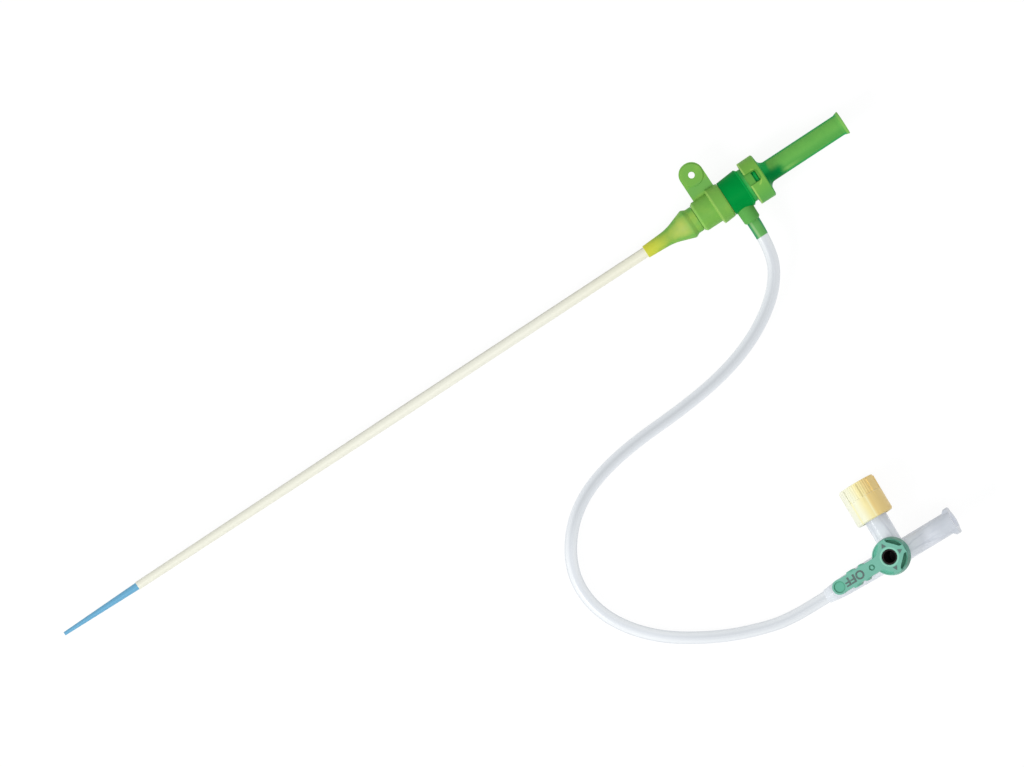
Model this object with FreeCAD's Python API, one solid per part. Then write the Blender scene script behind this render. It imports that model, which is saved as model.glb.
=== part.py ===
import FreeCAD, Part
import math
import os

# A vascular introducer sheath with its dilator in place, a valve housing with a side tube, and a
# three-way stopcock with a cap at the side tube's end. It lies on a table, in millimetres.
# X runs along the sheath from the tip to the hub, Y points to the suture eyelet and Z is up.
# While it is built, X is counted from the hub's shoulder, where the collar ends and the housing
# shows, and the sheath's axis is the line Y = Z = 0. Each solid moves to the object's own frame,
# at the middle of its base, when it is written.

V = FreeCAD.Vector
ORIGIN = V(0, 0, 0)

# Rooms left between parts
slide_room = 0.03
turn_room = 0.05
bond_room = 0.01
end_play = 0.10

# Sheath
sheath_exposed = 163.6
sheath_r = 1.48
sheath_bore_r = 1.22
sheath_tip_r = 1.17
sheath_tip_bore_r = 1.06
sheath_taper = 84.0
flare_length = 3.0
flare_rise = 0.78

# Dilator
dilator_nose = 23.5
dilator_tip_r = 0.52
dilator_belly = 16.4
dilator_belly_r = 0.88
dilator_sweep = 60.0
lumen_r = 0.40
shaft_room = 0.12
ring_r = 6.40
ring_length = 4.45
ring_chamfer = 0.4
ring_bore_r = 5.20
ring_cover = 3.2
ring_back = 1.80
ring_root_fillet = 1.75
grip_r = 2.98
grip_length = 25.35
grip_end_r = 3.40
grip_flare = 1.5
stop_r = 0.75
shaft_in_hub = 6.9
window_roll = 9.0
recess_width = 3.5
recess_length = 3.8
recess_depth = 0.55
window_width = 3.0
window_length = 1.35

# Luer sockets and cones, which narrow by 6 percent of their length past a plain mouth
luer_mouth_r = 2.14
luer_land = 1.5
luer_slope = 0.03
luer_depth = 8.0
flow_r = 1.0

# Strain relief
relief_length = 16.5
relief_end_r = 1.80
relief_waist = 7.7
relief_waist_r = 2.16
relief_sweep = 14.0
relief_crest_r = 4.25
relief_crest = 2.8
neck_r = 3.66
neck_length = 1.6

# Suture collar and its eyelet
collar_length = 9.2
collar_band_r = 4.38
collar_band = 5.3
collar_step_r = 5.38
collar_end_r = 5.13
collar_lead = 0.7
collar_lead_r = 3.8
collar_step_run = 0.35
tab_width = 6.85
tab_reach = 14.05
tab_thickness = 1.3
tab_setback = 4.3
eyelet_r = 0.90
eyelet_pad_r = 3.2
eyelet_pad = 1.9
eyelet_inset = 3.5

# Valve housing
journal_r = 3.30
spigot_r = 2.90
spigot_length = 3.8
nose_wall = 0.20
chamber_r = 2.40
chamber_back_r = 3.20
housing_length = 5.7
housing_front_r = 5.00
housing_back_r = 5.50
rim_r = 4.87
rim_fall = 0.6
rim_length = 1.2
plug_in_r = 4.20
plug_in = 1.0

# Valve disc and cap
disc_thickness = 1.4
cap_wall = 1.1
cap_mouth_r = 1.70
cap_ridge_r = 5.14
cap_ridge = 0.6

# Side port of the housing
port_station = 2.8
port_root_r = 2.48
port_end_r = 2.34
port_reach = 8.9
port_chamfer = 0.5
nipple_length = 4.8
nipple_bore_r = 0.55

# Side tube, whose middle stretch lies on the table
tube_r = 1.70
tube_bore_r = 0.90
tube_first_run = 9.2
tube_socket = 3.5
tube_last_bend = 24.3
tube_route = (
    (-1.5, -26.3, 5.3),
    (-10.2, -33.1, 3.6),
    (-22.0, -38.0, 2.3),
    (-37.2, -40.6, 1.7),
    (-63.4, -41.5, 1.7),
    (-80.0, -47.2, 1.7),
    (-90.2, -60.0, 1.7),
    (-90.3, -74.2, 1.7),
    (-81.6, -87.5, 1.7),
    (-67.0, -97.4, 1.7),
    (-53.0, -102.9, 1.7),
    (-45.2, -104.1, 1.7),
)

# Stopcock: where its passages cross, how it lies, and its sizes
stopcock_x = -14.08
stopcock_y = -105.0
stopcock_turn = -2.2
stopcock_lean = 14.1
lean_heading = 162.0
barrel_r = 3.60
barrel_top = 6.0
barrel_shoulder = 3.9
barrel_foot_r = 2.95
barrel_foot = 6.0
bore_top_r = 2.65
bore_foot_r = 2.40
outlet_r = 3.10
outlet_reach = 18.3
lug_r = 3.90
lug_width = 3.4
lug_length = 1.2
side_r = 3.20
side_reach = 20.2
inlet_reach = 22.4
inlet_neck_r = 2.56
inlet_end_r = 2.00
inlet_taper = 4.5

# Plug and handle
stem_r = 2.15
stem_sink = 0.4
core_r = 1.70
core_floor = 2.2
branch_r = 0.95
foot_lip = 0.20
foot_lip_length = 1.0
handle_top = 9.8
handle_lift = 0.3
disc_top_r = 4.95
disc_foot_r = 5.25
rim_sink = 0.6
rim_wall = 0.35
hub_half = 3.60
spoke_width = 2.3
pocket_depth = 1.3
arm_reach = 18.1
arm_width = 3.9
arm_thickness = 2.4
arm_head_r = 2.08
arm_root_fillet = 2.5
grip_bump_out = 0.50
grip_bumps = ((8.2, 1.0), (11.4, 2.0))
thumb_dish_r = 1.60
dish_depth = 0.30
mark_station = 5.6
mark_r = 0.85
mark_width = 0.40

# Cap of the stopcock's side port
cap_start = 11.25
cap_length = 10.8
cap_open_r = 5.42
cap_shut_r = 5.05
cap_taper = 0.14
cap_bore_r = 4.10
cap_floor = 1.5
cap_rounding = 0.9
cone_length = 6.4
rib_count = 48
rib_height = 0.09
rib_length = 4.3
long_rib_count = 8
long_rib_r = 5.34
long_rib_width = 0.5
long_rib_height = 0.6
long_rib_turn = -37.0

# Stations along the main axis, from the hub's shoulder
x_collar_back = -end_play
x_collar_front = x_collar_back - collar_length
x_neck = x_collar_front - end_play
x_spigot = x_neck - spigot_length
x_relief_end = x_neck - relief_length
x_sheath_tip = x_relief_end - sheath_exposed
x_tip = x_sheath_tip - dilator_nose
x_rim = housing_length + rim_fall
x_seam = housing_length + rim_length
x_plug_end = x_seam + plug_in
x_disc_end = x_plug_end + disc_thickness
x_cap_end = x_disc_end + cap_wall
x_ring_floor = x_cap_end + end_play
x_ring = x_ring_floor - ring_cover
x_ring_back = x_ring + ring_length
x_grip = x_ring_floor + ring_back
x_shaft_end = x_ring_floor + shaft_in_hub
x_end = x_grip + grip_length

dilator_r = sheath_bore_r - shaft_room
dilator_mouth_r = sheath_tip_bore_r - slide_room
nose_r = sheath_bore_r + nose_wall
nose_length = flare_length
nipple_r = tube_bore_r - bond_room
floor_z = -ring_r


def rounded(corners):
    """The closed outline in the XY plane through corners (x, y) or (x, y, radius)."""
    ends = []
    for i, corner in enumerate(corners):
        here = V(corner[0], corner[1], 0)
        if len(corner) < 3:
            ends.append((here, None, here))
            continue
        last = corners[i - 1]
        following = corners[(i + 1) % len(corners)]
        before = V(last[0], last[1], 0) - here
        after = V(following[0], following[1], 0) - here
        half = before.getAngle(after) / 2
        setback = min(corner[2] / math.tan(half), 0.49 * min(before.Length, after.Length))
        before.normalize()
        after.normalize()
        middle = (before + after).normalize()
        depth = setback / math.cos(half) - setback * math.tan(half)
        ends.append((here + before * setback, here + middle * depth, here + after * setback))
    edges = []
    for i, (start, middle, end) in enumerate(ends):
        if middle is not None:
            edges.append(Part.Arc(start, middle, end).toShape())
        onward = ends[(i + 1) % len(ends)][0]
        if (onward - end).Length > 1e-6:
            edges.append(Part.LineSegment(end, onward).toShape())
    return Part.Face(Part.Wire(edges))


def pointed(solid, axis):
    """A solid built along X, turned to lie along another axis through the origin."""
    if axis == "y":
        solid.rotate(ORIGIN, V(0, 0, 1), 90)
    elif axis == "z":
        solid.rotate(ORIGIN, V(0, 1, 0), -90)
    elif axis == "-x":
        solid.rotate(ORIGIN, V(0, 0, 1), 180)
    elif axis == "-y":
        solid.rotate(ORIGIN, V(0, 0, 1), -90)
    return solid


def turned(corners, axis="x"):
    """A solid of revolution from an outline of (distance along the axis, radius) corners."""
    solid = rounded(corners).revolve(ORIGIN, V(1, 0, 0), 360)
    if solid.Volume < 0:
        solid.reverse()
    return pointed(solid, axis)


def plate(corners, low, high):
    """A plate between two heights, from an outline seen from above."""
    solid = rounded(corners).extrude(V(0, 0, high - low))
    solid.translate(V(0, 0, low))
    return solid


def rod(radius, start, end, axis="x"):
    """A plain round rod between two distances along an axis."""
    return pointed(Part.makeCylinder(radius, end - start, V(start, 0, 0), V(1, 0, 0)), axis)


def joined(first, *others):
    return first.fuse(list(others)).removeSplitter()


def luer_socket(mouth, axis="x"):
    """The space inside a female Luer port whose mouth is at a distance along its axis."""
    deep_r = luer_mouth_r - luer_slope * (luer_depth - luer_land)
    return turned([
        (mouth + 1, 0),
        (mouth + 1, luer_mouth_r),
        (mouth - luer_land, luer_mouth_r),
        (mouth - luer_depth, deep_r),
        (mouth - luer_depth - (deep_r - flow_r), flow_r),
        (mouth - luer_depth - (deep_r - flow_r), 0),
    ], axis)


def sheath_tube():
    """The ivory tube, thinner at its tip and flared over the housing's nose."""
    flare_start = x_spigot - nose_length - nose_wall * flare_length / flare_rise
    flare_end = x_spigot - end_play
    opening = flare_rise * (flare_end - flare_start) / flare_length
    taper_end = x_sheath_tip + sheath_taper
    return turned([
        (x_sheath_tip, sheath_tip_bore_r),
        (x_sheath_tip, sheath_tip_r, 0.05),
        (taper_end, sheath_r),
        (flare_start, sheath_r),
        (flare_end, sheath_r + opening),
        (flare_end, sheath_bore_r + opening),
        (flare_start, sheath_bore_r),
        (taper_end, sheath_bore_r),
    ])


def strain_relief():
    """The soft cone that grips the tube's flared end on the nose and keeps the tube from kinking."""
    flare_start = x_spigot - nose_length - nose_wall * flare_length / flare_rise
    opening = flare_rise * (x_spigot - flare_start) / flare_length
    crest_x = x_neck - relief_crest
    return turned([
        (x_relief_end, sheath_r + bond_room),
        (x_relief_end, relief_end_r, 0.30),
        (x_relief_end + relief_waist, relief_waist_r, relief_sweep),
        (crest_x, relief_crest_r, 0.8),
        (x_neck - neck_length, neck_r, 0.3),
        (x_neck, neck_r, 0.1),
        (x_neck, spigot_r + bond_room),
        (x_spigot, spigot_r + bond_room),
        (x_spigot, sheath_r + opening + bond_room),
        (flare_start, sheath_r + bond_room),
    ])


def suture_collar():
    """The ring that turns on the housing's journal and carries the flat tab with the eyelet."""
    step = x_collar_front + collar_band
    ring = turned([
        (x_collar_front, journal_r + turn_room),
        (x_collar_front, collar_lead_r, 0.1),
        (x_collar_front + collar_lead, collar_band_r, 0.3),
        (step, collar_band_r),
        (step + collar_step_run, collar_step_r, 0.1),
        (x_collar_back - 0.45, collar_end_r),
        (x_collar_back, collar_end_r - 0.2),
        (x_collar_back, journal_r + turn_room),
    ])
    tab_x = -tab_setback
    half = tab_width / 2
    root = (journal_r + turn_room + collar_band_r) / 2
    eyelet_y = tab_reach - eyelet_inset
    tab = plate([
        (tab_x - half, root),
        (tab_x + half, root),
        (tab_x + half, tab_reach, half),
        (tab_x - half, tab_reach, half),
    ], -tab_thickness / 2, tab_thickness / 2)
    pad = Part.makeCylinder(eyelet_pad_r, eyelet_pad, V(tab_x, eyelet_y, -eyelet_pad / 2))
    pad = pad.makeChamfer(0.2, [e for e in pad.Edges if e.Closed and e.Length > 1])
    hole = Part.makeCylinder(eyelet_r, 2 * eyelet_pad, V(tab_x, eyelet_y, -eyelet_pad))
    return joined(ring, tab, pad).cut(hole)


def valve_housing():
    """The green housing: nose, journal for the collar, chamber, side port and nipple."""
    nose_tip = x_spigot - nose_length
    seat_r = nose_r + flare_rise
    chamber_start = x_neck + 3.4
    body = turned([
        (nose_tip, sheath_bore_r),
        (nose_tip, nose_r - bond_room),
        (x_spigot, seat_r - bond_room),
        (x_spigot, spigot_r),
        (x_neck, spigot_r),
        (x_neck, journal_r),
        (0, journal_r),
        (0, housing_front_r, 0.1),
        (housing_length, housing_back_r, 0.12),
        (x_rim, rim_r, 0.1),
        (x_seam, rim_r),
        (x_seam, plug_in_r),
        (x_plug_end, plug_in_r),
        (x_plug_end, chamber_back_r),
        (1.4, chamber_back_r),
        (0.2, chamber_r),
        (chamber_start, chamber_r),
        (chamber_start - 2.2, sheath_bore_r),
    ])
    port = turned([
        (chamber_back_r + 0.6, 0),
        (chamber_back_r + 0.6, port_root_r),
        (port_reach - port_chamfer, port_end_r, 0.15),
        (port_reach, tube_r + 0.15, 0.1),
        (port_reach, nipple_r),
        (port_reach + nipple_length, nipple_r - 0.08, 0.1),
        (port_reach + nipple_length, 0),
    ], "-y")
    port.translate(V(port_station, 0, 0))
    passage = rod(nipple_bore_r, 0.5, port_reach + nipple_length + 1, "-y")
    passage.translate(V(port_station, 0, 0))
    return joined(body, port).cut(passage)


def valve_disc():
    """The silicone valve, drawn with its slit opened round the dilator's shaft."""
    return turned([
        (x_plug_end, dilator_r + bond_room),
        (x_plug_end, plug_in_r - 0.05),
        (x_disc_end, plug_in_r - 0.05),
        (x_disc_end, dilator_r + bond_room),
    ])


def valve_cap():
    """The cap that holds the valve disc, with the ridge that the dilator snaps over."""
    ridge_end = x_cap_end - 0.25
    ridge_start = ridge_end - cap_ridge
    return turned([
        (x_seam, plug_in_r + bond_room),
        (x_seam, rim_r),
        (ridge_start - 0.2, rim_r),
        (ridge_start, cap_ridge_r),
        (ridge_end, cap_ridge_r),
        (x_cap_end, rim_r, 0.1),
        (x_cap_end, cap_mouth_r + 0.6),
        (x_cap_end - 0.6, cap_mouth_r),
        (x_disc_end, cap_mouth_r),
        (x_disc_end, plug_in_r + bond_room),
    ])


def dilator_tube():
    """The blue tapered shaft, with a lumen for the guide wire right through it."""
    return turned([
        (x_tip, lumen_r),
        (x_tip, dilator_tip_r, 0.08),
        (x_tip + dilator_belly, dilator_belly_r, dilator_sweep),
        (x_sheath_tip, dilator_mouth_r),
        (x_sheath_tip + sheath_taper, dilator_r),
        (x_shaft_end, dilator_r),
        (x_shaft_end, lumen_r),
    ])


def dilator_hub():
    """The snap ring and the Luer grip, moulded in one piece, with windows for the cap's ridge."""
    funnel = x_shaft_end + 0.5
    cone_r = luer_mouth_r - luer_slope * (x_end - luer_land - funnel)
    body = turned([
        (x_ring, ring_bore_r),
        (x_ring, ring_r - 0.07, 0.15),
        (x_ring_back, ring_r, 0.1),
        (x_ring_back + 0.75 * ring_chamfer, ring_r - ring_chamfer, 0.1),
        (x_grip, grip_r, ring_root_fillet),
        (x_end - grip_flare, grip_r, 1.0),
        (x_end - 0.3, grip_end_r, 0.1),
        (x_end, grip_end_r, 0.08),
        (x_end, luer_mouth_r),
        (x_end - luer_land, luer_mouth_r),
        (funnel + cone_r - stop_r, cone_r),
        (funnel, stop_r),
        (x_shaft_end, stop_r),
        (x_shaft_end, dilator_r + bond_room),
        (x_ring_floor, dilator_r + bond_room),
        (x_ring_floor, ring_bore_r),
    ])
    half = recess_width / 2
    recess_end = x_ring + recess_length
    recess = plate([
        (x_ring - 1, -half),
        (recess_end, -half, 1.0),
        (recess_end, half, 1.0),
        (x_ring - 1, half),
    ], 0, ring_r + 1)
    recess = recess.cut(rod(ring_r - recess_depth, x_ring - 2, recess_end + 1))
    window_end = recess_end - 0.65
    half = window_width / 2
    window = plate([
        (window_end - window_length, -half, 0.25),
        (window_end, -half, 0.25),
        (window_end, half, 0.25),
        (window_end - window_length, half, 0.25),
    ], ring_bore_r - 1, ring_r + 1)
    cutter = recess.fuse(window)
    cutter.rotate(ORIGIN, V(1, 0, 0), -window_roll)
    body = body.cut(cutter)
    cutter.rotate(ORIGIN, V(1, 0, 0), 180)
    return body.cut(cutter)


def stopcock_body():
    """The clear barrel with its inlet socket, its open Luer outlet and its capped side port."""
    barrel = turned([
        (-barrel_foot, 0),
        (-barrel_foot, barrel_foot_r, 0.25),
        (-barrel_shoulder - (barrel_r - barrel_foot_r), barrel_foot_r, 0.2),
        (-barrel_shoulder, barrel_r, 0.2),
        (barrel_top, barrel_r, 0.2),
        (barrel_top, 0),
    ], "z")
    outlet = rod(outlet_r, 0, outlet_reach)
    side = rod(side_r, 0, side_reach, "y")
    inlet = turned([
        (0, 0),
        (0, outlet_r),
        (inlet_reach - inlet_taper, inlet_neck_r, 8.0),
        (inlet_reach, inlet_end_r, 0.1),
        (inlet_reach, 0),
    ], "-x")
    lugs = []
    for reach, end_r, axis in ((outlet_reach, outlet_r, "x"), (side_reach, side_r, "y")):
        collar = turned([
            (reach - lug_length - (lug_r - end_r), end_r - 0.2),
            (reach - lug_length - (lug_r - end_r), end_r),
            (reach - lug_length, lug_r, 0.1),
            (reach, lug_r, 0.1),
            (reach, end_r - 0.2),
        ], axis)
        wide = reach + lug_r
        slab = Part.makeBox(2 * wide, 2 * wide, lug_width, V(-wide, -wide, -lug_width / 2))
        lugs.append(collar.common(slab))
    body = joined(barrel, outlet, side, inlet, *lugs)
    bore = turned([
        (-barrel_foot - 1, 0),
        (-barrel_foot - 1, bore_foot_r),
        (-barrel_foot, bore_foot_r),
        (barrel_top, bore_top_r),
        (barrel_top + 1, bore_top_r),
        (barrel_top + 1, 0),
    ], "z")
    socket = rod(tube_r + bond_room, inlet_reach - tube_socket, inlet_reach + 1, "-x")
    passages = [
        luer_socket(outlet_reach),
        luer_socket(side_reach, "y"),
        rod(flow_r, 0, outlet_reach - luer_depth),
        rod(flow_r, 0, side_reach - luer_depth, "y"),
        rod(flow_r, 0, inlet_reach - tube_socket + 0.5, "-x"),
        socket,
        bore,
    ]
    return body.cut(passages)


def stopcock_plug():
    """The dark plug that turns in the barrel, with a tee of passages and a hollow stem."""
    stem_top = handle_top - stem_sink
    foot = -barrel_foot - end_play
    top = barrel_top + end_play
    body = turned([
        (foot - foot_lip_length, 0),
        (foot - foot_lip_length, bore_foot_r - 0.15),
        (foot, bore_foot_r + foot_lip),
        (foot, bore_foot_r - turn_room),
        (-barrel_foot, bore_foot_r - turn_room),
        (barrel_top, bore_top_r - turn_room),
        (top, bore_top_r - turn_room),
        (top, stem_r),
        (stem_top, stem_r, 0.1),
        (stem_top, core_r),
        (core_floor, core_r, 0.3),
        (core_floor, 0),
    ], "z")
    across = Part.makeCylinder(flow_r, 4 * bore_top_r, V(0, -2 * bore_top_r, 0), V(0, 1, 0))
    return body.cut(across).cut(rod(branch_r, 0, 2 * bore_top_r))


def stopcock_handle():
    """The handle: a disc with pockets and spokes round the stem, and the long arm that shows OFF."""
    foot = barrel_top + handle_lift
    rim_top = handle_top - rim_sink
    disc = turned([(foot, 0), (foot, disc_foot_r, 0.15), (rim_top, disc_top_r, 0.12), (rim_top, 0)], "z")
    pocket_r = disc_top_r - rim_wall
    pocket_floor = rim_top - pocket_depth
    disc = disc.cut(Part.makeCylinder(pocket_r, pocket_depth + 1, V(0, 0, pocket_floor)))

    # The hub's square, its three spokes and the arm, in one outline
    corner = hub_half * math.sqrt(2)
    spoke = spoke_width / 2
    spoke_root = corner - spoke
    spoke_end = disc_top_r - 0.15
    half = arm_width / 2
    head_x = arm_head_r - arm_reach
    outline = [
        (head_x, -half),
        (half - corner, -half, arm_root_fillet),
        (-spoke, -spoke_root, 0.3), (-spoke, -spoke_end), (spoke, -spoke_end), (spoke, -spoke_root, 0.3),
        (spoke_root, -spoke, 0.3), (spoke_end, -spoke), (spoke_end, spoke), (spoke_root, spoke, 0.3),
        (spoke, spoke_root, 0.3), (spoke, spoke_end), (-spoke, spoke_end), (-spoke, spoke_root, 0.3),
        (half - corner, half, arm_root_fillet),
        (head_x, half),
    ]
    arm_low = handle_top - arm_thickness
    inside = Part.makeCylinder(spoke_end, handle_top - foot, V(0, 0, foot))
    hub = plate(outline, foot + 0.1, handle_top).common(inside)
    pieces = [hub, plate(outline, arm_low, handle_top)]
    pieces.append(Part.makeCylinder(arm_head_r, arm_thickness, V(head_x, 0, arm_low)))
    for station, length in grip_bumps:
        for side in (-1, 1):
            root = side * (half - 0.3)
            out = side * (half + grip_bump_out)
            pieces.append(plate([
                (-station - length / 2 - 0.5, root),
                (-station - length / 2, out, 0.4),
                (-station + length / 2, out, 0.4),
                (-station + length / 2 + 0.5, root),
            ], arm_low, handle_top))
    body = joined(disc, *pieces)
    dish = Part.makeCylinder(thumb_dish_r, dish_depth + 1, V(head_x, 0, handle_top - dish_depth))
    groove = Part.makeCylinder(mark_r, dish_depth + 1, V(-mark_station, 0, handle_top - dish_depth))
    groove = groove.cut(Part.makeCylinder(mark_r - mark_width, handle_top + 2, V(-mark_station, 0, 0)))
    hole_r = stem_r + bond_room
    hole = turned([
        (foot - 1, 0),
        (foot - 1, hole_r),
        (handle_top - 0.15, hole_r),
        (handle_top + 0.01, hole_r + 0.16),
        (handle_top + 0.01, 0),
    ], "z")
    return body.cut([dish, groove, hole])


def luer_cap():
    """The cap on the side port: ribbed outside, with the sealing cone inside."""
    end = cap_start + cap_length
    floor = end - cap_floor
    tip = floor - cone_length
    mouth_gap = floor - side_reach
    base_r = luer_mouth_r + luer_slope * mouth_gap - turn_room
    tip_r = base_r - luer_slope * cone_length
    body = turned([
        (cap_start, cap_bore_r),
        (cap_start, cap_open_r, cap_rounding),
        (end - rib_length, cap_open_r - cap_taper),
        (end - rib_length + 0.1, cap_shut_r),
        (end, cap_shut_r - 0.03, 0.15),
        (end, 0),
        (tip, 0),
        (tip, tip_r, 0.2),
        (floor, base_r),
        (floor, cap_bore_r),
    ], "y")
    points = []
    for i in range(2 * rib_count):
        angle = math.pi * i / rib_count
        radius = cap_shut_r - 0.04 + (rib_height if i % 2 else 0)
        points.append((radius * math.cos(angle), radius * math.sin(angle)))
    ribs = plate(points, end - rib_length, end - 0.05).cut(
        Part.makeCylinder(cap_shut_r - 0.3, cap_length, V(0, 0, end - rib_length - 1))
    )
    ribs.rotate(ORIGIN, V(1, 0, 0), -90)
    bars = []
    for i in range(long_rib_count):
        bar = Part.makeBox(long_rib_height, long_rib_width, cap_length - cap_rounding - 0.5)
        bar.translate(V(long_rib_r - long_rib_height, -long_rib_width / 2, cap_start + cap_rounding))
        bar.rotate(ORIGIN, V(0, 0, 1), 360 / long_rib_count * i + 90 + long_rib_turn)
        bar.rotate(ORIGIN, V(1, 0, 0), -90)
        bars.append(bar)
    return joined(body, ribs, *bars)


def stopcock_pose(height):
    """Where the stopcock's own frame lies: turned on the table, then leaning to one side."""
    heading = math.radians(lean_heading)
    tilt_axis = V(-math.sin(heading), math.cos(heading), 0)
    turn = FreeCAD.Rotation(V(0, 0, 1), stopcock_turn)
    lean = FreeCAD.Rotation(tilt_axis, stopcock_lean)
    return FreeCAD.Placement(V(stopcock_x, stopcock_y, floor_z + height), lean.multiply(turn))


def resting_height(solids):
    """How high the passages' crossing lies when the leaning stopcock just touches the table."""
    lowest = 0
    for solid in solids:
        placed = solid.copy()
        placed.Placement = stopcock_pose(0).multiply(placed.Placement)
        lowest = min(lowest, placed.optimalBoundingBox(False).ZMin - floor_z)
    return -lowest


def tube_points(pose):
    """The corners of the side tube's route, from the port's face to the inlet's socket."""
    start = V(port_station, -port_reach, 0)
    first = start - V(0, tube_first_run, 0)
    middle = [V(x, y, floor_z + up) for x, y, up in tube_route]
    last = pose.multVec(V(-tube_last_bend, 0, 0))
    end = pose.multVec(V(tube_socket - inlet_reach, 0, 0))
    return [start, first] + middle + [last, end]


def tube_path(points):
    """Straight runs joined by tangent arcs, each as large as its two runs allow."""
    edges = []
    reached = points[0]
    radii = []
    for last, here, following in zip(points, points[1:], points[2:]):
        before = last - here
        after = following - here
        setback = 0.45 * min(before.Length, after.Length)
        half = before.getAngle(after) / 2
        radii.append(setback * math.tan(half))
        before.normalize()
        after.normalize()
        start = here + before * setback
        end = here + after * setback
        middle = (before + after).normalize()
        depth = setback / math.cos(half) - setback * math.tan(half)
        edges.append(Part.LineSegment(reached, start).toShape())
        edges.append(Part.Arc(start, here + middle * depth, end).toShape())
        reached = end
    edges.append(Part.LineSegment(reached, points[-1]).toShape())
    return Part.Wire(edges), radii


def side_tube(points):
    """The clear side tube, hollow from end to end."""
    path, radii = tube_path(points)
    direction = points[1] - points[0]
    walls = []
    for radius in (tube_r, tube_bore_r):
        ring = Part.Wire(Part.makeCircle(radius, points[0], direction))
        walls.append(path.makePipeShell([ring], True, True))
    tube = walls[0].cut(walls[1])
    section = math.pi * (tube_r ** 2 - tube_bore_r ** 2)
    print("side tube length", round(path.Length, 2), "radii", [round(r, 1) for r in radii])
    print("side tube volume", round(tube.Volume, 2), "section x length", round(section * path.Length, 2))
    return tube


def solid_of(shape):
    """The single solid inside a boolean's result."""
    return shape if shape.ShapeType == "Solid" else shape.Solids[0]


def main():
    nodes = {
        "sheath_tube": sheath_tube(),
        "strain_relief": strain_relief(),
        "suture_collar": suture_collar(),
        "valve_housing": valve_housing(),
        "valve_disc": valve_disc(),
        "valve_cap": valve_cap(),
        "dilator_tube": dilator_tube(),
        "dilator_hub": dilator_hub(),
    }
    stopcock = {
        "stopcock_body": stopcock_body(),
        "stopcock_plug": stopcock_plug(),
        "stopcock_handle": stopcock_handle(),
        "luer_cap": luer_cap(),
    }
    height = resting_height(stopcock.values())
    pose = stopcock_pose(height)
    for name, shape in stopcock.items():
        shape.Placement = pose.multiply(shape.Placement)
        nodes[name] = shape
    points = tube_points(pose)
    nodes["side_tube"] = side_tube(points)

    # The object's own frame stands at the middle of its base, without the side tube and stopcock.
    nipple_end = -(port_reach + nipple_length)
    base = V((x_tip + x_end) / 2, (tab_reach + nipple_end) / 2, floor_z)
    os.makedirs("parts", exist_ok=True)
    for name, shape in nodes.items():
        count = len(shape.Solids)
        if count != 1:
            raise ValueError(name + " came out as " + str(count) + " solids")
        solid = solid_of(shape).copy()
        solid.translate(-base)
        if not solid.isValid():
            raise ValueError(name + " is not a valid solid")
        solid.exportStep("parts/" + name + ".step")
        box = solid.BoundBox
        print(name, round(solid.Volume, 2), [round(v, 2) for v in (
            box.XMin, box.YMin, box.ZMin, box.XMax, box.YMax, box.ZMax)])
    print("base", base, "stopcock height", round(height, 3))
    print("stopcock crossing", pose.Base - base)
    for axis in (V(1, 0, 0), V(0, 1, 0), V(0, 0, 1)):
        print("stopcock axis", pose.Rotation.multVec(axis))
    for point in points:
        moved = point - base
        print("tube point", [round(v, 2) for v in (moved.x, moved.y, moved.z)])


main()
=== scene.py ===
import math

import bmesh
import bpy
from mathutils import Matrix, Vector


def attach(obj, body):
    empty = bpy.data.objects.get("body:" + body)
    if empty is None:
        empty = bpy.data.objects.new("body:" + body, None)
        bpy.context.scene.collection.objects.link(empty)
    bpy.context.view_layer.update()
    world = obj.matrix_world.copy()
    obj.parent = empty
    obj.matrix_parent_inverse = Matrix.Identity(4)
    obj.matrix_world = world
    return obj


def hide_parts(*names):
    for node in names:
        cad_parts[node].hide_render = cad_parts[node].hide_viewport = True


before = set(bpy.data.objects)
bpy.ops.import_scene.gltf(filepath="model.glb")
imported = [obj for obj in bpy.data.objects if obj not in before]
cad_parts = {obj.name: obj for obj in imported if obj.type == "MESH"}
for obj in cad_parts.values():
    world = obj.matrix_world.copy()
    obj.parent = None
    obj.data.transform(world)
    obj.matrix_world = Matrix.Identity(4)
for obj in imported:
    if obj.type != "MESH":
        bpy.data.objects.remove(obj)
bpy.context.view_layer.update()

bl_info = {
    "name": "Guiding catheter introducer",
    "version": (1, 0, 0),
    "blender": (4, 5, 0),
    "location": "View3D > Sidebar > Catheter",
    "description": "Finishes, side tube, handle marks and stage of an introducer sheath",
    "category": "Object",
}

MM = 0.001

# The sheath's axis, the shoulder between the collar and the housing, and the stopcock's frame
AXIS = Vector((0, -0.175, 6.4)) * MM
SHOULDER = Vector((87.675, 0, 0)) * MM
CROSSING = Vector((73.595, -105.175, 7.4342)) * MM
PORT_WAY = Vector((0.971692, -0.029430, 0.234411))
SIDE_WAY = Vector((0.046190, 0.996728, -0.066332))
TAP_WAY = Vector((-0.231692, 0.075281, 0.969872))

# How far the side port's middle lies behind the shoulder, in millimetres
PORT_STATION = 2.8

# The side tube's route, in millimetres, from the port's face to the inlet's socket
ROUTE = [
    (90.475, -9.075, 6.4),
    (90.475, -18.275, 6.4),
    (86.175, -26.475, 5.3),
    (77.475, -33.275, 3.6),
    (65.675, -38.175, 2.3),
    (50.475, -40.775, 1.7),
    (24.275, -41.675, 1.7),
    (7.675, -47.375, 1.7),
    (-2.525, -60.175, 1.7),
    (-2.625, -74.375, 1.7),
    (6.075, -87.675, 1.7),
    (20.675, -97.575, 1.7),
    (34.675, -103.075, 1.7),
    (42.475, -104.275, 1.7),
    (49.983, -104.460, 1.738),
    (55.230, -104.619, 3.004),
]

# The side tube is wider over the nipple: by this share, and for this length
NIPPLE_SWELL = 0.10
NIPPLE_LENGTH = 5.2 * MM

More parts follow.
